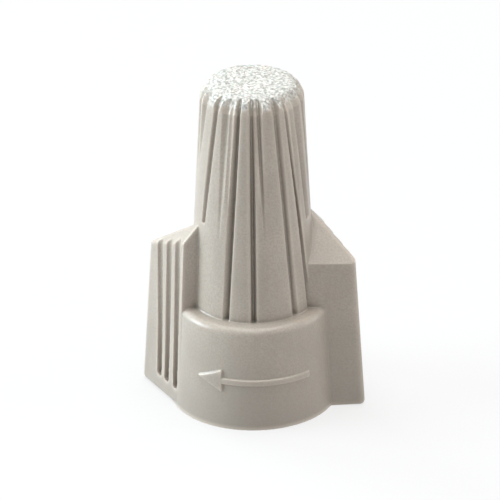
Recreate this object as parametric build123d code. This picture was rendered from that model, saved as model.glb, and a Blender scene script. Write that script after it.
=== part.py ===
from build123d import *
import os
from math import atan2, cos, degrees, radians, sin

# Twist wire connector: a moulded shell with two swept wings, and the conical square wire spring in it.
# It stands on its open mouth with the closed end up. The origin is on the axis in the plane of the mouth,
# +Z points to the closed end and +X runs to the wing on the right. Everything but the spring looks the
# same when it is turned by half a turn about Z, so each feature is written once, for the wing on -X.
# Lengths are millimetres, angles are degrees counter-clockwise from +X as seen from the closed end.

# Skirt: the wide ring at the mouth, drafted inwards as it rises.
HEIGHT = 30.0
SKIRT_RADIUS = 7.35
SKIRT_TOP_RADIUS = 6.77
SKIRT_HEIGHT = 9.47
SKIRT_ROUNDING = 0.5

# Cap: the fluted closed cone that stands on the skirt.
CAP_FOOT_RADIUS = 5.45
CAP_TOP_RADIUS = 4.48
CAP_ROUNDING = 1.4

# Inside of the shell, from the mouth up.
MOUTH_RADIUS = 6.0
MOUTH_LEAD_IN = 0.5
MOUTH_DEPTH = 7.4
LIP_RADIUS = 3.75
LIP_Z = 9.3
LIP_HEIGHT = 0.4
CHAMBER_FOOT_RADIUS = 4.35
CHAMBER_TOP_RADIUS = 3.05
CHAMBER_FOOT_Z = 10.0
CHAMBER_TOP_Z = 27.4

# Spring: square wire wound on a cone, closing towards the cap.
WIRE = 0.9
SPRING_PITCH = 1.28
SPRING_CLEARANCE = 0.16
SPRING_SEAT_GAP = 0.02
SPRING_FLOAT = 0.4

# Wing on -X: a slab between its grip face, a flat back face and a flat front face. The grip face runs from
# the tip to the skirt, and it twists a little as it rises, because the wing shrinks less at its tip.
WING_TIP_FOOT = (-10.07, 3.0)
WING_TIP_TOP = (-8.98, 2.07)
WING_NEAR_FOOT = (-6.345, -3.59)
WING_NEAR_TOP = (-5.167, -3.353)
WING_TOP_Z = 18.0
WING_INNER_X = -3.0
WING_TIP_ROUNDING = 0.55
WING_FOOT_ROUNDING = 0.45
FRONT_FACE_ANGLE = 285.2
FRONT_FACE_DISTANCE = 1.0
FRONT_FACE_DRAFT = 0.035
FRONT_FACE_Z = 9.5
WING_EAVES_Z = 13.56
BACK_ROOF_SLOPE = 44.0
GRIP_ROOF_NORMAL = (-0.734, -0.2, 0.672)
WING_ROOF_ROUNDING = 0.2
SAME_PLACE = 0.01

# Grip grooves: round-bottomed grooves up each grip face, open at the roof and shallower there. Their
# shares are how far along the grip face they lie, from its near end to the tip, at the foot and at the top.
GRIP_GROOVE_SHARES = ((0.185, 0.333), (0.39, 0.527), (0.563, 0.748))
GRIP_GROOVE_RADIUS = 0.4
GRIP_GROOVE_FOOT_DEPTH = 0.5
GRIP_GROOVE_TOP_DEPTH = 0.25
GRIP_GROOVE_FOOT_Z = 1.9

# Tightening arrow, raised on the skirt below the cap.
ARROW_HEIGHT_Z = 4.5
ARROW_LENGTH = 9.6
ARROW_SHAFT = 0.5
ARROW_HEAD = 2.0
ARROW_RELIEF = 0.15

# Flutes of one half of the cap. Each row holds the angle of its deepest line at the top and at the lower
# end, the height of the lower end, how wide it is before and after that line, its depth, and its depth at
# the lower end. Long flutes run down to the skirt, and the last three are the broad hollows that gather
# their neighbours near the top. Over the crown's rounding each flute leans inwards, so that it ends at the
# edge of the flat top.
LONG_FOOT_Z = SKIRT_HEIGHT - 0.5
FLUTES = (
    (205.0, 197.0, 22.5, 0.50, 0.55, 0.40, 0.00),
    (227.0, 212.0, 17.8, 0.25, 0.25, 0.35, 0.30),
    (241.5, 234.0, 15.5, 0.55, 0.50, 0.35, 0.00),
    (255.0, 245.5, LONG_FOOT_Z, 0.50, 0.14, 0.55, 0.45),
    (269.3, 270.0, LONG_FOOT_Z, 0.20, 0.35, 0.50, 0.45),
    (277.4, 282.0, 15.5, 0.40, 0.26, 0.50, 0.00),
    (297.0, 312.0, LONG_FOOT_Z, 0.32, 0.30, 0.38, 0.35),
    (310.5, 333.0, LONG_FOOT_Z, 0.25, 0.22, 0.35, 0.35),
    (327.0, 341.0, 17.8, 0.60, 0.60, 0.40, 0.30),
    (343.0, 352.0, 18.5, 0.35, 0.35, 0.35, 0.00),
    (357.0, 363.0, 19.5, 0.35, 0.35, 0.35, 0.00),
    (371.0, 371.0, 20.5, 0.35, 0.35, 0.35, 0.00),
    (246.5, 243.0, 17.0, 0.80, 0.75, 0.30, 0.00),
    (273.3, 275.0, 18.0, 0.60, 0.60, 0.30, 0.00),
    (318.0, 326.0, 15.0, 0.95, 0.95, 0.28, 0.00),
)
FLUTE_OVERRUN = 0.6
CROWN_Z = 28.6
CROWN_LEAN = 0.9


def polar(radius, angle, z=0.0):
    return Vector(radius * cos(radians(angle)), radius * sin(radians(angle)), z)


def between(low, high, z, low_z, high_z):
    return low + (high - low) * (z - low_z) / (high_z - low_z)


def cap_radius(z):
    return between(CAP_FOOT_RADIUS, CAP_TOP_RADIUS, z, SKIRT_HEIGHT, HEIGHT)


def chamber_radius(z):
    return between(CHAMBER_FOOT_RADIUS, CHAMBER_TOP_RADIUS, z, CHAMBER_FOOT_Z, CHAMBER_TOP_Z)


def turned_half(shape):
    return shape.rotate(Axis.Z, 180)


def cone(foot_radius, top_radius, foot_z, top_z):
    body = Cone(foot_radius, top_radius, top_z - foot_z, align=(Align.CENTER, Align.CENTER, Align.MIN))
    return Pos(0, 0, foot_z) * body


# Skirt ------------------------------------------------------------------------------------------------


def skirt():
    body = cone(SKIRT_RADIUS, SKIRT_TOP_RADIUS, 0.0, SKIRT_HEIGHT)
    rim = body.edges().sort_by(Axis.Z)[-1]
    return fillet(rim, SKIRT_ROUNDING)


def arrow():
    """Points to -X on the front of the skirt: clockwise seen from the closed end, which tightens."""
    half = ARROW_LENGTH / 2
    neck = ARROW_HEAD - half
    outline = Polyline(
        (-half, 0),
        (neck, ARROW_HEAD / 2),
        (neck, ARROW_SHAFT / 2),
        (half, ARROW_SHAFT / 2),
        (half, -ARROW_SHAFT / 2),
        (neck, -ARROW_SHAFT / 2),
        (neck, -ARROW_HEAD / 2),
        close=True,
    )
    front = Plane(origin=(0, 0, ARROW_HEIGHT_Z), x_dir=(1, 0, 0), z_dir=(0, -1, 0))
    stem = extrude(front * make_face(outline), amount=2 * SKIRT_RADIUS)
    raised = cone(SKIRT_RADIUS + ARROW_RELIEF, SKIRT_TOP_RADIUS + ARROW_RELIEF, 0.0, SKIRT_HEIGHT)
    return stem & raised


# Cap --------------------------------------------------------------------------------------------------


def flute_section(angle, z, before, after, depth, floor_depth):
    """A level V: its floor lies floor_depth below the surface, and its arms run out past the surface."""
    reach = floor_depth + FLUTE_OVERRUN
    floor = polar(cap_radius(z) - floor_depth, angle, z)
    arm = polar(reach, angle)
    sideways = polar(reach / depth, angle + 90)
    lips = (floor + arm + sideways * after, floor + arm - sideways * before)
    return make_face(Polyline(floor, *lips, close=True))


def flute(top_angle, foot_angle, foot_z, before, after, depth, foot_depth):
    foot = flute_section(foot_angle, foot_z, before, after, depth, foot_depth)
    crown = flute_section(top_angle, CROWN_Z, before, after, depth, depth)
    top = flute_section(top_angle, HEIGHT + FLUTE_OVERRUN, before, after, depth, depth + CROWN_LEAN)
    return loft([foot, crown, top], ruled=True)


def cap():
    body = cone(cap_radius(0), CAP_TOP_RADIUS, 0.0, HEIGHT)
    body = fillet(body.edges().sort_by(Axis.Z)[-1], CAP_ROUNDING)
    for row in FLUTES:
        cutter = flute(*row)
        body = body - cutter - turned_half(cutter)
    return body


# Wing on -X -------------------------------------------------------------------------------------------


def cut_by_face(solid, point, outwards):
    return split(solid, bisect_by=Plane(origin=point, z_dir=outwards), keep=Keep.BOTTOM)


def grip_line(z):
    """The level line of the grip face at height z, as its near end and its tip."""
    near, tip = (
        Vector(*(between(low, high, z, 0.0, WING_TOP_Z) for low, high in zip(foot, top)), z)
        for foot, top in ((WING_NEAR_FOOT, WING_NEAR_TOP), (WING_TIP_FOOT, WING_TIP_TOP))
    )
    return near, tip


def wing_plan(z):
    near, tip = grip_line(z)
    return make_face(Polyline(tip, near, (WING_INNER_X, near.Y, z), (WING_INNER_X, tip.Y, z), close=True))


def wing():
    body = loft([wing_plan(0.0), wing_plan(WING_TOP_Z)], ruled=True)
    front_normal = polar(1, FRONT_FACE_ANGLE)
    front_point = front_normal * FRONT_FACE_DISTANCE + Vector(0, 0, FRONT_FACE_Z)
    body = cut_by_face(body, front_point, front_normal + Vector(0, 0, FRONT_FACE_DRAFT))
    eaves_tip = grip_line(WING_EAVES_Z)[1]
    back_roof_normal = (0, sin(radians(BACK_ROOF_SLOPE)), cos(radians(BACK_ROOF_SLOPE)))
    body = cut_by_face(body, eaves_tip, back_roof_normal)
    body = cut_by_face(body, eaves_tip, GRIP_ROOF_NORMAL)

    tip_edge = body.edges().sort_by(lambda edge: edge.center().X)[0]
    body = fillet(tip_edge, WING_TIP_ROUNDING)
    body = fillet(body.edges().filter_by(is_outer_foot_edge), WING_FOOT_ROUNDING)
    return fillet(body.edges().filter_by(is_roof_edge), WING_ROOF_ROUNDING)


def is_outer_foot_edge(edge):
    """The grip face's foot, the tip's and the back face's, but not those inside the skirt."""
    middle = edge.center()
    return middle.Z < SAME_PLACE and middle.X < -SKIRT_TOP_RADIUS + WING_TIP_ROUNDING


def is_roof_edge(edge):
    """The edges above the eaves, but not those of the slab's inner end, which is inside the cap."""
    middle = edge.center()
    in_height = WING_EAVES_Z < middle.Z < WING_TOP_Z - SAME_PLACE
    return in_height and middle.X < WING_INNER_X - SAME_PLACE


def grip_groove(foot_share, top_share):
    ends = []
    for z, share, depth in (
        (GRIP_GROOVE_FOOT_Z, foot_share, GRIP_GROOVE_FOOT_DEPTH),
        (WING_TOP_Z, top_share, GRIP_GROOVE_TOP_DEPTH),
    ):
        near, tip = grip_line(z)
        outwards = (tip - near).normalized().cross(Vector(0, 0, -1))
        ends.append(near + (tip - near) * share + outwards * (GRIP_GROOVE_RADIUS - depth))
    upright = Plane(origin=ends[0], z_dir=ends[1] - ends[0])
    channel = Cylinder(GRIP_GROOVE_RADIUS, WING_TOP_Z, align=(Align.CENTER, Align.CENTER, Align.MIN))
    return upright * (channel + Sphere(GRIP_GROOVE_RADIUS))


def winged(body):
    for half in (wing(), turned_half(wing())):
        body = body + half
    for shares in GRIP_GROOVE_SHARES:
        groove = grip_groove(*shares)
        body = body - groove - turned_half(groove)
    return body


# Inside -----------------------------------------------------------------------------------------------


def cavity():
    """Mouth for the insulated wires, funnel, retaining lip and the spring's chamber, as one turned shape."""
    outline = Polyline(
        (0, 0),
        (MOUTH_RADIUS + MOUTH_LEAD_IN, 0),
        (MOUTH_RADIUS, MOUTH_LEAD_IN),
        (MOUTH_RADIUS, MOUTH_DEPTH),
        (LIP_RADIUS, LIP_Z),
        (LIP_RADIUS, LIP_Z + LIP_HEIGHT),
        (CHAMBER_FOOT_RADIUS, LIP_Z + LIP_HEIGHT),
        (CHAMBER_FOOT_RADIUS, CHAMBER_FOOT_Z),
        (CHAMBER_TOP_RADIUS, CHAMBER_TOP_Z),
        (0, CHAMBER_TOP_Z),
        close=True,
    )
    return revolve(Plane.XZ * make_face(outline), axis=Axis.Z)


def shell():
    body = winged(skirt() + cap())
    marks = arrow()
    return body + marks + turned_half(marks) - cavity()


# Spring -----------------------------------------------------------------------------------------------


def spring():
    """Square wire wound right-handed, flat against the lip and parallel to the chamber's tapered wall."""
    foot_z = LIP_Z + LIP_HEIGHT + WIRE / 2 + SPRING_SEAT_GAP
    top_z = CHAMBER_TOP_Z - WIRE / 2 - SPRING_SEAT_GAP - SPRING_FLOAT
    radius = chamber_radius(foot_z) - SPRING_CLEARANCE - WIRE / 2
    taper = atan2(CHAMBER_FOOT_RADIUS - CHAMBER_TOP_RADIUS, CHAMBER_TOP_Z - CHAMBER_FOOT_Z)
    centre = (0, 0, foot_z)
    winding = Helix(SPRING_PITCH, top_z - foot_z, radius, center=centre, cone_angle=-degrees(taper))
    start = Plane(origin=winding @ 0, x_dir=(1, 0, 0), z_dir=winding % 0)
    return sweep(start * Rectangle(WIRE, WIRE), path=winding, is_frenet=True)


PIECES = {"shell": shell, "spring": spring}

os.makedirs("parts", exist_ok=True)
for name, build in PIECES.items():
    export_step(build(), f"parts/{name}.step")
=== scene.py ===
from math import cos, pi, radians, sin

import bpy
from mathutils import Matrix, Vector


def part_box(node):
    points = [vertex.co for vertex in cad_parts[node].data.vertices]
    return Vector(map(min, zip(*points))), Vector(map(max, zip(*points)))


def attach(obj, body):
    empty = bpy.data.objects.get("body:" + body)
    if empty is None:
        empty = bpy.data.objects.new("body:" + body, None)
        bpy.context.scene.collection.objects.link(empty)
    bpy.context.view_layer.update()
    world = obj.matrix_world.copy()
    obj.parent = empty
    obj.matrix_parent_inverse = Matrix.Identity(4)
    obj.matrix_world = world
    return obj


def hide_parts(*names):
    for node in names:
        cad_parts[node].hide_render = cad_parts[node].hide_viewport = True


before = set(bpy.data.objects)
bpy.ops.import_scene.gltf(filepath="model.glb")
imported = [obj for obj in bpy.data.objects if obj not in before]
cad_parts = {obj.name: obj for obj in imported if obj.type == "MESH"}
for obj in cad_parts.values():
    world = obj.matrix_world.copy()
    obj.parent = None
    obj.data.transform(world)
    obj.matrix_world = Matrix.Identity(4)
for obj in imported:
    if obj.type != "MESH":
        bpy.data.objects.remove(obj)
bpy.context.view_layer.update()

bl_info = {
    "name": "Twist wire connector",
    "version": (1, 0, 0),
    "blender": (4, 5, 0),
    "location": "3D View > Sidebar > Connector",
    "description": "Moulds the winged shell of a twist wire connector and winds its square wire spring",
    "category": "Object",
}

# Both pieces are modelled in millimetres and brought to metres when they are finished.
MM = 0.001
SHELL_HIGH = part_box("shell")[1] / MM
SPRING_LOW, SPRING_HIGH = (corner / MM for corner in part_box("spring"))
HEIGHT = SHELL_HIGH.z


# Settings ---------------------------------------------------------------------------------------------


def length(label, note, default_mm):
    return bpy.props.FloatProperty(name=label, description=note, default=default_mm * MM, unit="LENGTH")


def colour(label, note, default_hex):
    return bpy.props.StringProperty(name=label, description=note, default=default_hex)


class ShellSettings(bpy.types.PropertyGroup):
    skirt_height: length("Skirt height", "From the mouth to the flat ledge round the cap", 9.47)
    skirt_draft: length("Skirt draft", "How much the skirt's radius shrinks from mouth to ledge", 0.58)
    rim_rounding: length("Rim rounding", "Radius of the skirt's upper outer edge", 0.6)
    cap_foot_radius: length("Cap foot radius", "Radius of the cap where it stands on the skirt", 5.45)
    cap_top_radius: length("Cap top radius", "Radius of the cap below its crown", 4.48)
    crown_rounding: length("Crown rounding", "Radius of the cap's upper edge", 1.4)
    eaves_z: length("Wing eaves", "Height of the lower edge of a wing's roof", 13.56)
    groove_radius: length("Grip groove radius", "Half the width of the grooves in the grip faces", 0.4)
    groove_depth: length("Grip groove depth", "How deep the grooves are cut in the grip faces", 0.55)
    arrow_relief: length("Arrow relief", "How far the tightening arrow stands out of the skirt", 0.16)
    voxel: length("Skin resolution", "Grid spacing at which the moulded skin is fused", 0.06)
    plastic_hex: colour("Plastic", "Colour of the moulded polypropylene", "#a49b90")


class SpringSettings(bpy.types.PropertyGroup):
    wire: length("Wire size", "Side of the square spring wire", 0.9)
    corner: length("Wire corner", "Radius of the drawn wire's corners", 0.09)
    pitch: length("Pitch", "Rise of the spring in one turn", 1.28)
    zinc_hex: colour("Zinc", "Colour of the zinc plating on the spring", "#b9bcbd")


class StageSettings(bpy.types.PropertyGroup):
    camera_distance: length("Camera distance", "From the camera to the middle of the connector", 423.7)
    camera_height: bpy.props.FloatProperty(
        name="Camera elevation",
        description="Angle of the camera above the horizon",
        default=radians(26.54),
        subtype="ANGLE",
    )
    floor_hex: colour("Floor", "Colour of the plain floor", "#626261")


# Small helpers ----------------------------------------------------------------------------------------


def linear(hex_colour):
    """An sRGB hex colour as linear red, green, blue and alpha."""
    channels = [int(hex_colour[i : i + 2], 16) / 255 for i in (1, 3, 5)]
    return [c / 12.92 if c <= 0.04045 else ((c + 0.055) / 1.055) ** 2.4 for c in channels] + [1.0]


def polar(radius, angle, z=0.0):
    return Vector((radius * cos(angle), radius * sin(angle), z))


def mix(a, b, share):
    return a + (b - a) * share


def begin():
    """Leaves nothing selected, so that an operator acts on the new piece alone."""
    if bpy.context.object and bpy.context.object.mode != "OBJECT":
        bpy.ops.object.mode_set(mode="OBJECT")
    bpy.ops.object.select_all(action="DESELECT")


def only(piece):
    begin()
    piece.select_set(True)
    bpy.context.view_layer.objects.active = piece
    return piece


def named(name):
    piece = bpy.context.object
    piece.name = name
    piece.data.name = name
    return piece


def pick(piece, kind, test):
    """In edit mode, selects only the vertices, edges or faces that pass the test."""
    bpy.ops.mesh.select_mode(type=kind)
    bpy.ops.mesh.select_all(action="DESELECT")
    bpy.ops.object.mode_set(mode="OBJECT")
    mesh = piece.data
    for item in {"VERT": mesh.vertices, "EDGE": mesh.edges, "FACE": mesh.polygons}[kind]:
        item.select = test(mesh, item)
    bpy.ops.object.mode_set(mode="EDIT")


def finish_mesh(piece):
    bpy.ops.mesh.select_all(action="SELECT")
    bpy.ops.mesh.remove_doubles(threshold=1e-5)
    bpy.ops.mesh.normals_make_consistent(inside=False)
    bpy.ops.object.mode_set(mode="OBJECT")
    bpy.ops.object.transform_apply(location=True, rotation=True, scale=True)
    return piece


def apply_modifier(piece, kind, **settings):
    only(piece)
    modifier = piece.modifiers.new(kind, kind)
    for key, value in settings.items():
        setattr(modifier, key, value)
    bpy.ops.object.modifier_apply(modifier=modifier.name)
    return piece


def combine(piece, others, operation):
    """Joins or cuts a piece by others, one after another, and removes them."""
    for other in others:
        apply_modifier(piece, "BOOLEAN", object=other, operation=operation, solver="MANIFOLD")
        bpy.data.objects.remove(other)
    return piece


def half_turned(piece):
    """A copy turned by half a turn about the axis, with its own mesh."""
    only(piece)
    bpy.ops.object.duplicate()
    twin = bpy.context.object
    twin.data.transform(Matrix.Rotation(pi, 4, "Z"))
    return twin


def with_twins(pieces):
    return pieces + [half_turned(piece) for piece in pieces]


def lathe(name, outline, segments=256):
    """Turns an outline of (radius, height) points about Z: a filled ring extruded and resized in steps."""
    begin()
    radius, height = outline[0]
    bpy.ops.mesh.primitive_circle_add(
        vertices=segments, radius=radius, fill_type="NGON", location=(0, 0, height), enter_editmode=True
    )
    for next_radius, next_height in outline[1:]:
        rise = (0, 0, next_height - height)
        bpy.ops.mesh.extrude_region_move(TRANSFORM_OT_translate={"value": rise})
        share = next_radius / radius
        bpy.ops.transform.resize(value=(share, share, 1), center_override=(0, 0, next_height))
        radius, height = next_radius, next_height
    return finish_mesh(named(name))


def rounded_corner(centre, radius, start, end, steps=6):
    """Points of an arc in the outline, from one angle to the other."""
    turn = [mix(start, end, i / steps) for i in range(steps + 1)]
    return [(centre[0] + radius * cos(a), centre[1] + radius * sin(a)) for a in turn]


# Shell ------------------------------------------------------------------------------------------------


class ShellShape:
    """The settings in millimetres, and the tapers that follow from them."""

    def __init__(self, settings):
        for key in ShellSettings.__annotations__:
            if key != "plastic_hex":
                setattr(self, key, getattr(settings, key) / MM)
        self.skirt_radius = SHELL_HIGH.y
        self.skirt_top_radius = self.skirt_radius - self.skirt_draft

    def cap_radius(self, z):
        share = (z - self.skirt_height) / (HEIGHT - self.skirt_height)
        return mix(self.cap_foot_radius, self.cap_top_radius, share)


# The wing on -X, seen from above: its tip and the near end of its grip face, at the foot and at the top. The
# grip face twists a little as it rises, because the wing shrinks less at its tip.
WING_TIP_FOOT = Vector((-10.07, 3.0, 0.0))
WING_TIP_TOP = Vector((-8.98, 2.07, 18.0))
WING_NEAR_FOOT = Vector((-6.345, -3.59, 0.0))
WING_NEAR_TOP = Vector((-5.167, -3.353, 18.0))
WING_INNER_X = -3.0
FRONT_FACE_ANGLE = radians(285.2)
FRONT_FACE_DISTANCE = 1.0
FRONT_FACE_DRAFT = 0.035
TIP_ROUNDING = 0.55
# The tip is sharp, so its bevel is this much wider than the rounding it leaves.
TIP_BEVEL_SHARE = 1.6
FOOT_ROUNDING = 0.5
ROOF_ROUNDING = 0.25
BACK_ROOF_SLOPE = radians(44)
GRIP_ROOF_NORMAL = Vector((-0.734, -0.2, 0.672))
# How far along the grip face each groove lies, from the near end to the tip, at the foot and at the top.
GROOVE_SHARES = ((0.185, 0.333), (0.39, 0.527), (0.563, 0.748))
GROOVE_FOOT_Z = 1.9
GROOVE_TOP_DEPTH_SHARE = 0.5
SAME_PLACE = 1e-3
# How the edges to round are told from the others: near the tip's line, outside this x at the foot, and longer
# than this and clear of the eaves and the cap on the roof.
TIP_EDGE_REACH = 0.2
FOOT_EDGE_X = -6.2
ROOF_EDGE_LENGTH = 1.5
ROOF_EDGE_CLEARANCE = 0.5


def turned_body(shape):
    """Skirt and cap, solid all through."""
    rim = (shape.skirt_top_radius - shape.rim_rounding, shape.skirt_height - shape.rim_rounding)
    crown = (shape.cap_top_radius - shape.crown_rounding, HEIGHT - shape.crown_rounding)
    outline = [(shape.skirt_radius, 0)]
    outline += rounded_corner(rim, shape.rim_rounding, 0, pi / 2)
    outline += [(shape.cap_foot_radius, shape.skirt_height)]
    outline += rounded_corner(crown, shape.crown_rounding, 0, pi / 2)
    return lathe("body", outline)


# The space inside, from the mouth up.
MOUTH_RADIUS = 6.0
MOUTH_LEAD_IN = 0.5
MOUTH_DEPTH = 7.4
LIP_RADIUS = 3.75
LIP_Z = 9.3
LIP_HEIGHT = 0.4
CHAMBER_FOOT_RADIUS = 4.35
CHAMBER_TOP_RADIUS = 3.05
CHAMBER_FOOT_Z = 10.0
CHAMBER_TOP_Z = 27.4


def cavity():
    """The space inside: mouth, funnel, retaining lip and the spring's chamber."""
    outline = [
        (MOUTH_RADIUS + 2 * MOUTH_LEAD_IN, -MOUTH_LEAD_IN),
        (MOUTH_RADIUS, MOUTH_LEAD_IN),
        (MOUTH_RADIUS, MOUTH_DEPTH),
        (LIP_RADIUS, LIP_Z),
        (LIP_RADIUS, LIP_Z + LIP_HEIGHT),
        (CHAMBER_FOOT_RADIUS, LIP_Z + LIP_HEIGHT),
        (CHAMBER_FOOT_RADIUS, CHAMBER_FOOT_Z),
        (CHAMBER_TOP_RADIUS, CHAMBER_TOP_Z),
    ]
    return lathe("cavity", outline)


# Flutes of one half of the cap. Each row holds the angle of its deepest line at the top and at the lower
# end, the height of the lower end, how wide it is before and after that line, its depth, and its depth at
# the lower end. Long flutes run down to the skirt, and the last three are the broad hollows that gather
# their neighbours near the top.
LONG = 9.49
FLUTES = (
    (205.0, 197.0, 22.5, 0.50, 0.55, 0.40, 0.00),
    (227.0, 212.0, 17.8, 0.25, 0.25, 0.35, 0.30),
    (241.5, 234.0, 15.5, 0.55, 0.50, 0.35, 0.00),
    (255.0, 245.5, LONG, 0.50, 0.14, 0.55, 0.45),
    (269.3, 270.0, LONG, 0.20, 0.35, 0.50, 0.45),
    (277.4, 282.0, 15.5, 0.40, 0.26, 0.50, 0.00),
    (297.0, 312.0, LONG, 0.32, 0.30, 0.38, 0.35),
    (310.5, 333.0, LONG, 0.25, 0.22, 0.35, 0.35),
    (327.0, 341.0, 17.8, 0.60, 0.60, 0.40, 0.30),
    (343.0, 352.0, 18.5, 0.35, 0.35, 0.35, 0.00),
    (357.0, 363.0, 19.5, 0.35, 0.35, 0.35, 0.00),
    (371.0, 371.0, 20.5, 0.35, 0.35, 0.35, 0.00),
    (246.5, 243.0, 17.0, 0.80, 0.75, 0.30, 0.00),
    (273.3, 275.0, 18.0, 0.60, 0.60, 0.30, 0.00),
    (318.0, 326.0, 15.0, 0.95, 0.95, 0.28, 0.00),
)
FLUTE_OVERRUN = 0.6
FLUTE_HALF_FLOOR = 0.05
CROWN_Z = 28.6
CROWN_LEAN = 0.9


def flute_section(shape, angle, z, before, after, depth, floor_depth):
    """A level groove with a narrow flat floor; its walls run out past the cap's surface."""
    reach = floor_depth + FLUTE_OVERRUN
    floor = polar(shape.cap_radius(z) - floor_depth, radians(angle), z)
    out = polar(reach, radians(angle))
    sideways = polar(1, radians(angle + 90))
    flat = sideways * FLUTE_HALF_FLOOR
    spread = reach / depth
    return [
        floor - flat,
        floor + flat,
        floor + flat + out + sideways * after * spread,
        floor - flat + out - sideways * before * spread,
    ]


def flute(shape, top_angle, foot_angle, foot_z, before, after, depth, foot_depth):
    """A cutter that follows the cap's surface, then leans inwards over the crown."""
    sizes = (before, after, depth)
    return lofted(
        "flute",
        [
            flute_section(shape, foot_angle, foot_z, *sizes, foot_depth),
            flute_section(shape, top_angle, CROWN_Z, *sizes, depth),
            flute_section(shape, top_angle, HEIGHT + FLUTE_OVERRUN, *sizes, depth + CROWN_LEAN),
        ],
    )


def lofted(name, sections):
    """A closed body through level outlines with the same number of corners, extruded from one to the next."""
    begin()
    count = len(sections[0])
    bpy.ops.mesh.primitive_circle_add(vertices=count, radius=1, fill_type="NGON")
    piece = named(name)
    corners = [vertex.co.copy() for vertex in piece.data.vertices]
    bpy.ops.object.mode_set(mode="EDIT")
    for number, section in enumerate(sections):
        if number:
            pick(piece, "FACE", lambda mesh, face: holds_all(mesh, face, corners))
            lift = Vector((0, 0, 1))
            bpy.ops.mesh.extrude_region_move(TRANSFORM_OT_translate={"value": lift})
            corners = [corner + lift for corner in corners]
        for start, end in zip(corners, section):
            pick(piece, "VERT", lambda mesh, vertex: (vertex.co - start).length < SAME_PLACE)
            bpy.ops.transform.translate(value=end - start)
        corners = section
    return finish_mesh(piece)


def holds_all(mesh, face, corners):
    """Whether the face is the one that these corners bound."""
    places = [mesh.vertices[i].co for i in face.vertices]
    return all(min((place - corner).length for corner in corners) < SAME_PLACE for place in places)


def flutes(shape):
    return with_twins([flute(shape, *row) for row in FLUTES])


def trim(point, outwards):
    """Cuts away what lies beyond a plane, and closes the cut."""
    bpy.ops.mesh.select_all(action="SELECT")
    bpy.ops.mesh.bisect(plane_co=point, plane_no=outwards, use_fill=True, clear_outer=True)


def grip_line(z):
    """The level line of the grip face at height z, as its near end and its tip."""
    share = z / WING_TIP_TOP.z
    return mix(WING_NEAR_FOOT, WING_NEAR_TOP, share), mix(WING_TIP_FOOT, WING_TIP_TOP, share)


def wing_plan(z):
    near, tip = grip_line(z)
    return [tip, near, Vector((WING_INNER_X, near.y, z)), Vector((WING_INNER_X, tip.y, z))]


def wing(shape):
    """The wing on -X: a tapering block trimmed by its front face and the two slopes of its roof."""
    piece = lofted("wing", [wing_plan(0), wing_plan(WING_TIP_TOP.z)])
    bpy.ops.object.mode_set(mode="EDIT")
    front = polar(1, FRONT_FACE_ANGLE)
    eaves_tip = grip_line(shape.eaves_z)[1]
    trim(
        front * FRONT_FACE_DISTANCE + Vector((0, 0, shape.skirt_height)),
        front + Vector((0, 0, FRONT_FACE_DRAFT)),
    )
    trim(eaves_tip, (0, sin(BACK_ROOF_SLOPE), cos(BACK_ROOF_SLOPE)))
    trim(eaves_tip, GRIP_ROOF_NORMAL)
    tip_x = mix(WING_TIP_FOOT.x, eaves_tip.x, 0.5)
    pick(piece, "EDGE", lambda mesh, edge: abs(edge_middle(mesh, edge).x - tip_x) < TIP_EDGE_REACH)
    bpy.ops.mesh.bevel(offset=TIP_ROUNDING * TIP_BEVEL_SHARE, segments=8, affect="EDGES")
    pick(piece, "EDGE", is_outer_foot_edge)
    bpy.ops.mesh.bevel(offset=FOOT_ROUNDING, segments=6, affect="EDGES")
    pick(piece, "EDGE", lambda mesh, edge: is_roof_edge(mesh, edge, shape.eaves_z))
    bpy.ops.mesh.bevel(offset=ROOF_ROUNDING, segments=4, affect="EDGES", clamp_overlap=True)
    return finish_mesh(piece)


def is_outer_foot_edge(mesh, edge):
    """The grip face's foot, the tip's and the back face's, but not those inside the skirt."""
    middle = edge_middle(mesh, edge)
    return middle.z < SAME_PLACE and middle.x < FOOT_EDGE_X


def is_roof_edge(mesh, edge, eaves_z):
    """The crest and the long lower edge of the grip face's roof, which the tip's rounding doesn't reach."""
    a, b = (mesh.vertices[i].co for i in edge.vertices)
    middle = (a + b) / 2
    above = middle.z > eaves_z + ROOF_EDGE_CLEARANCE
    outside = middle.x < WING_INNER_X - ROOF_EDGE_CLEARANCE
    return (a - b).length > ROOF_EDGE_LENGTH and above and outside


def edge_middle(mesh, edge):
    a, b = (mesh.vertices[i].co for i in edge.vertices)
    return (a + b) / 2


def groove_centre(shape, share, z, depth):
    near, tip = grip_line(z)
    outwards = (tip - near).normalized().cross(Vector((0, 0, -1)))
    return mix(near, tip, share) + outwards * (shape.groove_radius - depth)


def grip_groove(shape, foot_share, top_share):
    """A round-bottomed cutter up the grip face, open at the roof and shallower there."""
    foot = groove_centre(shape, foot_share, GROOVE_FOOT_Z, shape.groove_depth)
    top = groove_centre(shape, top_share, WING_TIP_TOP.z, shape.groove_depth * GROOVE_TOP_DEPTH_SHARE)
    turn = (top - foot).to_track_quat("Z", "Y").to_euler()
    begin()
    bpy.ops.mesh.primitive_uv_sphere_add(
        segments=20,
        ring_count=12,
        radius=shape.groove_radius,
        location=foot,
        rotation=turn,
        enter_editmode=True,
    )
    cutter = named("groove")
    pick(cutter, "FACE", lambda mesh, face: face.center.z > SAME_PLACE)
    bpy.ops.transform.translate(value=top - foot)
    return finish_mesh(cutter)


def grip_grooves(shape):
    return with_twins([grip_groove(shape, *shares) for shares in GROOVE_SHARES])


ARROW_HALF_LENGTH = 4.8
ARROW_HEAD = 2.0
ARROW_SHAFT = 0.5
ARROW_Z = 4.5


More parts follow.
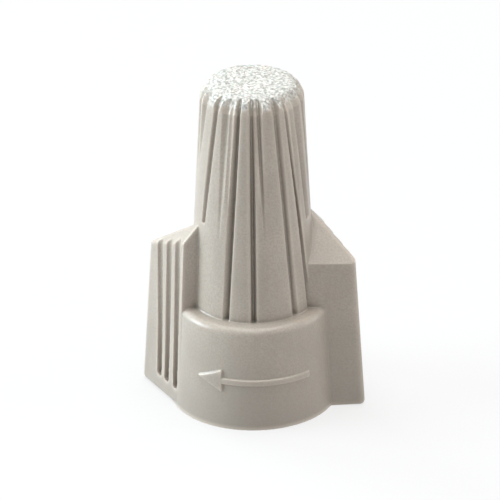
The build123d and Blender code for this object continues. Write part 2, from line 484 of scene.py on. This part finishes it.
def arrow(shape):
    """Points to -X on the front of the skirt, clockwise seen from the closed end, which tightens."""
    reach = shape.skirt_radius
    begin()
    bpy.ops.mesh.primitive_cube_add(
        size=1,
        location=(ARROW_HEAD / 2, -reach, ARROW_Z),
        scale=(2 * ARROW_HALF_LENGTH - ARROW_HEAD, reach, ARROW_SHAFT),
    )
    stem = finish_now("stem")
    begin()
    bpy.ops.mesh.primitive_cylinder_add(
        vertices=3,
        radius=1,
        depth=reach,
        location=(-ARROW_HALF_LENGTH + ARROW_HEAD * 2 / 3, -reach, ARROW_Z),
        rotation=(pi / 2, -pi / 2, 0),
        scale=(ARROW_HEAD / 3 ** 0.5, ARROW_HEAD * 2 / 3, 1),
    )
    point = finish_now("point")
    mark = combine(stem, [point], "UNION")
    raised = lathe(
        "raised",
        [
            (shape.skirt_radius + shape.arrow_relief, 0),
            (shape.skirt_top_radius + shape.arrow_relief, shape.skirt_height),
        ],
    )
    return combine(mark, [raised], "INTERSECT")


def finish_now(name):
    piece = named(name)
    bpy.ops.object.mode_set(mode="EDIT")
    return finish_mesh(piece)


SKIN_SMOOTHING = 4
SKIN_TRIANGLES = 190_000


def fuse_skin(piece, voxel):
    """Fuses the parts of the moulding into one skin with softened edges, then thins it where it is flat."""
    apply_modifier(piece, "REMESH", mode="VOXEL", voxel_size=voxel, use_smooth_shade=True)
    apply_modifier(piece, "SMOOTH", factor=0.5, iterations=SKIN_SMOOTHING)
    quads = len(piece.data.polygons)
    apply_modifier(piece, "DECIMATE", ratio=min(1.0, SKIN_TRIANGLES / (2 * quads)))
    only(piece)
    bpy.ops.object.shade_smooth()
    return piece


def hand_over(piece, material, body, node):
    """Brings a finished piece to metres and hands it to the frame in place of its CAD node."""
    piece.data.transform(Matrix.Scale(MM, 4))
    piece.data.materials.clear()
    piece.data.materials.append(material)
    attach(piece, body)
    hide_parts(node)
    return piece


class CONNECTOR_OT_shell(bpy.types.Operator):
    """Mould the shell: skirt, fluted cap, wings, grip grooves, arrow and the space inside"""

    bl_idname = "connector.shell"
    bl_label = "Mould the shell"

    def execute(self, context):
        settings = context.scene.connector_shell
        shape = ShellShape(settings)
        body = combine(turned_body(shape), flutes(shape), "DIFFERENCE")
        combine(body, with_twins([wing(shape)]), "UNION")
        combine(body, grip_grooves(shape), "DIFFERENCE")
        combine(body, with_twins([arrow(shape)]), "UNION")
        combine(body, [cavity()], "DIFFERENCE")
        fuse_skin(body, shape.voxel * (1.0))
        body.name = "moulded_shell"
        plastic = moulded_polypropylene(settings.plastic_hex)
        hand_over(body, plastic, "shell_body", "shell")
        return {"FINISHED"}


# Spring -----------------------------------------------------------------------------------------------


STEPS_PER_TURN = 72
WIRE_SMOOTH_ANGLE = radians(40)


class CONNECTOR_OT_spring(bpy.types.Operator):
    """Wind the conical spring from square wire"""

    bl_idname = "connector.spring"
    bl_label = "Wind the spring"

    def execute(self, context):
        settings = context.scene.connector_spring
        wire, pitch = settings.wire / MM, settings.pitch / MM
        foot_z, top_z = SPRING_LOW.z + wire / 2, SPRING_HIGH.z - wire / 2
        turns = (top_z - foot_z) / pitch
        foot_radius = SPRING_HIGH.x - wire / 2
        taper = (CHAMBER_FOOT_RADIUS - CHAMBER_TOP_RADIUS) / (CHAMBER_TOP_Z - CHAMBER_FOOT_Z)
        section = wire_section(wire, settings.corner / MM)
        steps = int(turns * STEPS_PER_TURN)
        curve = bpy.data.curves.new("spring", "CURVE")
        curve.dimensions = "3D"
        curve.twist_mode = "Z_UP"
        curve.bevel_mode = "OBJECT"
        curve.bevel_object = section
        curve.use_fill_caps = True
        spline = curve.splines.new("POLY")
        spline.points.add(steps)
        for i, point in enumerate(spline.points):
            z = mix(foot_z, top_z, i / steps)
            radius = foot_radius - taper * (z - foot_z)
            point.co = (*polar(radius, 2 * pi * turns * i / steps, z), 1)
        spring = bpy.data.objects.new("square_wire_spring", curve)
        context.scene.collection.objects.link(spring)
        only(spring)
        bpy.ops.object.convert(target="MESH")
        spring = bpy.context.object
        bpy.data.objects.remove(section)
        bpy.ops.object.mode_set(mode="EDIT")
        finish_mesh(spring)
        bpy.ops.object.shade_smooth_by_angle(angle=WIRE_SMOOTH_ANGLE)
        zinc = zinc_plated_wire(settings.zinc_hex)
        hand_over(spring, zinc, "spring_body", "spring")
        return {"FINISHED"}


def wire_section(wire, corner):
    """The drawn wire's square section, with rounded corners, as a closed flat curve."""
    curve = bpy.data.curves.new("wire_section", "CURVE")
    curve.dimensions = "2D"
    spline = curve.splines.new("POLY")
    inset = wire / 2 - corner
    centres = [(inset, inset), (-inset, inset), (-inset, -inset), (inset, -inset)]
    outline = []
    for i, centre in enumerate(centres):
        outline += rounded_corner(centre, corner, i * pi / 2, (i + 1) * pi / 2, steps=3)
    spline.points.add(len(outline) - 1)
    for point, (x, y) in zip(spline.points, outline):
        point.co = (x, y, 0, 1)
    spline.use_cyclic_u = True
    section = bpy.data.objects.new("wire_section", curve)
    bpy.context.scene.collection.objects.link(section)
    return section


# Materials --------------------------------------------------------------------------------------------


def add_node(tree, kind, inputs=(), **settings):
    """Adds a node. Settings are its properties. Inputs are listed in order or by socket, as values or as
    (node, output) pairs to link."""
    node = tree.nodes.new(kind)
    for key, value in settings.items():
        setattr(node, key, value)
    for socket, source in inputs.items() if isinstance(inputs, dict) else enumerate(inputs):
        if isinstance(source, tuple) and isinstance(source[0], bpy.types.Node):
            other, output = source
            tree.links.new(other.outputs[output], node.inputs[socket])
        else:
            node.inputs[socket].default_value = source
    return node


def new_material(name):
    material = bpy.data.materials.new(name)
    material.use_nodes = True
    material.node_tree.nodes.clear()
    return material, material.node_tree


def shade(rgba, share):
    """The same colour, lighter or darker."""
    return [min(1.0, c * share) for c in rgba[:3]] + [1.0]


def blotches(tree, place, size_mm, detail=2.0, stretch=(1, 1, 1)):
    """Soft noise with blotches about size_mm across; a stretch above 1 draws them out along that axis."""
    scale = [1 / share for share in stretch]
    spread = add_node(tree, "ShaderNodeMapping", {"Vector": (place, "Object"), "Scale": scale})
    pattern = {"Vector": (spread, "Vector"), "Scale": 1 / (size_mm * MM), "Detail": detail}
    return add_node(tree, "ShaderNodeTexNoise", pattern)


def layered(tree, under, over, mask, low, high, share_low, share_high):
    """Lays one colour over another, in a share that follows the mask from low to high."""
    share = add_node(tree, "ShaderNodeMapRange", [mask, low, high, share_low, share_high])
    # A Mix node's colours are its sockets 6 and 7, and its output 2.
    return add_node(tree, "ShaderNodeMix", {0: (share, 0), 6: under, 7: over}, data_type="RGBA"), 2


def moulded_polypropylene(plastic_hex):
    """Injection moulded polypropylene, pigmented tan: it gives the eye a satin skin with soft highlights."""
    material, tree = new_material("moulded_polypropylene")
    place = add_node(tree, "ShaderNodeTexCoord")
    height = add_node(tree, "ShaderNodeSeparateXYZ", [(place, "Object")])
    base = linear(plastic_hex)

    # Pigment: broad clouding, flow marks that run up from the mouth, and fine darker specks.
    cloud = blotches(tree, place, 5.0)
    tint = layered(tree, shade(base, 0.94), shade(base, 1.06), (cloud, "Fac"), 0.35, 0.65, 0, 1)
    flow = blotches(tree, place, 0.9, stretch=(1, 1, 6))
    tint = layered(tree, tint, shade(base, 1.12), (flow, "Fac"), 0.4, 0.7, 0, 0.3)
    speck = blotches(tree, place, 0.16, detail=3.0)
    tint = layered(tree, tint, shade(base, 0.8), (speck, "Fac"), 0.35, 0.6, 0.6, 0)

    # Painted light and shade: painted shade darkens the skirt towards its foot and the bottoms of flutes and
    # grooves, and a painted highlight makes edges that stand out paler.
    # Painted shade: the colour darkens towards the foot of the skirt.
    tint = layered(tree, tint, shade(base, 0.7), (height, "Z"), 0, 9.5 * MM, 0.65, 0)
    # Painted shade: the bottoms of flutes and grooves are darkened where the occlusion mask finds them hemmed
    # in.
    painted_groove_shade = add_node(
        tree, "ShaderNodeAmbientOcclusion", {"Distance": 0.8 * MM}, samples=8, only_local=True
    )
    tint = layered(tree, tint, shade(base, 0.35), (painted_groove_shade, "AO"), 0.35, 0.8, 0.85, 0)
    # Painted highlight: edges that stand out are made paler.
    painted_edge_highlight = add_node(
        tree, "ShaderNodeAmbientOcclusion", {"Distance": 0.45 * MM}, samples=8, inside=True, only_local=True
    )
    tint = layered(tree, tint, shade(base, 1.5), (painted_edge_highlight, "AO"), 0.55, 0.97, 0.8, 0)

    # Crown: frosted by the spark-eroded end of the mould, pale and granular, with a ragged edge.
    surface = add_node(tree, "ShaderNodeNewGeometry")
    facing = add_node(tree, "ShaderNodeSeparateXYZ", [(surface, "Normal")])
    ragged = blotches(tree, place, 0.5, detail=3.0)
    raised = [(ragged, "Fac"), 0.8 * MM, (height, "Z")]
    lifted = add_node(tree, "ShaderNodeMath", raised, operation="MULTIPLY_ADD")
    high = add_node(tree, "ShaderNodeMapRange", [(lifted, 0), (HEIGHT - 0.6) * MM, (HEIGHT - 0.3) * MM, 0, 1])
    upward = add_node(tree, "ShaderNodeMapRange", [(facing, "Z"), 0.25, 0.5, 0, 1])
    crown = add_node(tree, "ShaderNodeMath", [(high, 0), (upward, 0)], operation="MULTIPLY")
    granule = blotches(tree, place, 0.22, detail=5.0)
    frost = layered(tree, linear("#96958f"), linear("#cecdc7"), (granule, "Fac"), 0.4, 0.6, 0, 1)
    tint = add_node(tree, "ShaderNodeMix", {0: (crown, 0), 6: tint, 7: frost}, data_type="RGBA"), 2

    # Relief: a moulded grain everywhere, drawn coarser than the real one so that it shows, and coarse lumps
    # and granules on the crown.
    grain = blotches(tree, place, 0.11, detail=3.0)
    skin = {"Height": (grain, "Fac"), "Strength": 0.5, "Distance": 0.02 * MM}
    relief = add_node(tree, "ShaderNodeBump", skin)
    for pattern, depth in ((ragged, 0.3), (granule, 0.1)):
        rough = {"Height": (pattern, "Fac"), "Strength": (crown, 0), "Distance": depth * MM}
        relief = add_node(tree, "ShaderNodeBump", {"Normal": (relief, "Normal"), **rough})

    # Gloss: satin, duller in patches where it was handled, and matt on the crown.
    handled = blotches(tree, place, 2.2, detail=3.0)
    satin = add_node(tree, "ShaderNodeMapRange", [(handled, "Fac"), 0.35, 0.65, 0.28, 0.42])
    gloss = add_node(tree, "ShaderNodeMath", [(crown, 0), 0.2, (satin, 0)], operation="MULTIPLY_ADD")
    plastic = {
        "Base Color": tint,
        "Normal": (relief, "Normal"),
        "Roughness": (gloss, 0),
        "IOR": 1.49,
        "Subsurface Weight": 0.08,
        "Subsurface Scale": 0.5 * MM,
    }
    shader = add_node(tree, "ShaderNodeBsdfPrincipled", plastic)
    add_node(tree, "ShaderNodeOutputMaterial", {"Surface": (shader, "BSDF")})
    return material


def zinc_plated_wire(zinc_hex):
    """Drawn spring steel, zinc plated: it gives the eye bright bands, broken by cloudy patches and scuffs."""
    material, tree = new_material("zinc_plated_wire")
    place = add_node(tree, "ShaderNodeTexCoord")
    base = linear(zinc_hex)
    cloud = blotches(tree, place, 1.1, detail=3.0)
    scuff = blotches(tree, place, 0.09, stretch=(8, 8, 1))
    tint = layered(tree, shade(base, 0.82), base, (cloud, "Fac"), 0.35, 0.65, 0, 1)
    tint = layered(tree, tint, shade(base, 0.6), (scuff, "Fac"), 0.55, 0.75, 0, 0.5)
    rough = add_node(tree, "ShaderNodeMapRange", [(cloud, "Fac"), 0.35, 0.65, 0.2, 0.4])
    scratches = {"Height": (scuff, "Fac"), "Strength": 0.4, "Distance": 0.01 * MM}
    relief = add_node(tree, "ShaderNodeBump", scratches)
    zinc = {"Base Color": tint, "Roughness": (rough, 0), "Normal": (relief, "Normal"), "Metallic": 1.0}
    shader = add_node(tree, "ShaderNodeBsdfPrincipled", zinc)
    add_node(tree, "ShaderNodeOutputMaterial", {"Surface": (shader, "BSDF")})
    return material


# Stage ------------------------------------------------------------------------------------------------


class CONNECTOR_OT_stage(bpy.types.Operator):
    """Set the plain floor, the soft boxes and the camera"""

    bl_idname = "connector.stage"
    bl_label = "Set the stage"

    def execute(self, context):
        settings = context.scene.connector_stage
        set_floor(settings)
        set_lights(context.scene)
        set_camera(context.scene, settings)
        return {"FINISHED"}


# The floor is a sheet of opal acrylic lit from below, so that shadows on it stay faint.
FLOOR_GLOW = 0.72
FLOOR_SIZE = 4.0
# Each soft box has its place and size in metres, its power in watts and its tint.
NEUTRAL = "#ffffff"
COOL = "#ecf8ff"
BOXES = (
    ("left_box", (-0.5, 0.0, 0.15), 0.3, 4.1, COOL),
    ("back_left_box", (-0.35, 0.35, 0.3), 0.3, 1.6, COOL),
    ("top_box", (0.0, 0.05, 0.5), 0.35, 3.1, NEUTRAL),
    ("top_front_box", (0.0, -0.3, 0.42), 0.3, 0.6, NEUTRAL),
    ("right_box", (0.5, 0.0, 0.2), 0.3, 0.95, NEUTRAL),
    ("right_front_box", (0.35, -0.35, 0.25), 0.3, 0.55, NEUTRAL),
)


def set_floor(settings):
    begin()
    bpy.ops.mesh.primitive_plane_add(size=FLOOR_SIZE, location=(0, 0, 0))
    floor = named("floor")
    material, tree = new_material("light_table")
    acrylic = {
        "Base Color": linear(settings.floor_hex),
        "Roughness": 0.9,
        "Emission Color": linear(NEUTRAL),
        "Emission Strength": FLOOR_GLOW,
    }
    shader = add_node(tree, "ShaderNodeBsdfPrincipled", acrylic)
    add_node(tree, "ShaderNodeOutputMaterial", {"Surface": (shader, "BSDF")})
    floor.data.materials.append(material)


def soft_box(name, place, size, power, tint):
    """A square area light that looks at the connector."""
    begin()
    aim = Vector((0, 0, HEIGHT / 2 * MM))
    turn = (Vector(place) - aim).to_track_quat("Z", "Y").to_euler()
    bpy.ops.object.light_add(type="AREA", location=place, rotation=turn)
    light = bpy.context.object
    light.name = name
    light.data.size = size
    light.data.energy = power
    light.data.color = linear(tint)[:3]


def set_lights(scene):
    """Only the soft boxes and the floor give light: the room is dark."""
    world = bpy.data.worlds.new("studio")
    world.use_nodes = True
    world.node_tree.nodes["Background"].inputs["Strength"].default_value = 0.0
    scene.world = world
    scene.view_settings.view_transform = "Standard"
    for box in BOXES:
        soft_box(*box)


CAMERA_AIM = Vector((-0.25, 0, 13.85))
CAMERA_ROLL = radians(-0.41)
CAMERA_LENS = 351.8
CAMERA_SENSOR = 36
CAMERA_CLIP_START = 0.01


def set_camera(scene, settings):
    begin()
    middle = Vector((0, 0, HEIGHT / 2 * MM))
    tilt = settings.camera_height
    place = middle + Vector((0, -cos(tilt), sin(tilt))) * settings.camera_distance
    level = (place - CAMERA_AIM * MM).to_track_quat("Z", "Y").to_matrix()
    turn = level @ Matrix.Rotation(CAMERA_ROLL, 3, "Z")
    bpy.ops.object.camera_add(location=place, rotation=turn.to_euler())
    camera = bpy.context.object
    camera.name = "camera"
    camera.data.lens = CAMERA_LENS
    camera.data.sensor_width = CAMERA_SENSOR
    camera.data.clip_start = CAMERA_CLIP_START
    scene.camera = camera


# Panel and registration -------------------------------------------------------------------------------


class CONNECTOR_PT_panel(bpy.types.Panel):
    bl_idname = "CONNECTOR_PT_panel"
    bl_label = "Twist wire connector"
    bl_space_type = "VIEW_3D"
    bl_region_type = "UI"
    bl_category = "Connector"

    def draw(self, context):
        for settings, operator in STEPS:
            box = self.layout.box()
            group = getattr(context.scene, settings)
            for key in type(group).__annotations__:
                box.prop(group, key)
            box.operator(operator)


STEPS = (
    ("connector_shell", "connector.shell"),
    ("connector_spring", "connector.spring"),
    ("connector_stage", "connector.stage"),
)
CLASSES = (
    ShellSettings,
    SpringSettings,
    StageSettings,
    CONNECTOR_OT_shell,
    CONNECTOR_OT_spring,
    CONNECTOR_OT_stage,
    CONNECTOR_PT_panel,
)


def register():
    for cls in CLASSES:
        bpy.utils.register_class(cls)
    bpy.types.Scene.connector_shell = bpy.props.PointerProperty(type=ShellSettings)
    bpy.types.Scene.connector_spring = bpy.props.PointerProperty(type=SpringSettings)
    bpy.types.Scene.connector_stage = bpy.props.PointerProperty(type=StageSettings)


def unregister():
    for settings, _ in STEPS:
        delattr(bpy.types.Scene, settings)
    for cls in reversed(CLASSES):
        bpy.utils.unregister_class(cls)


def main():
    register()
    bpy.ops.connector.shell()
    bpy.ops.connector.spring()
    bpy.ops.connector.stage()


if __name__ == "__main__":
    main()
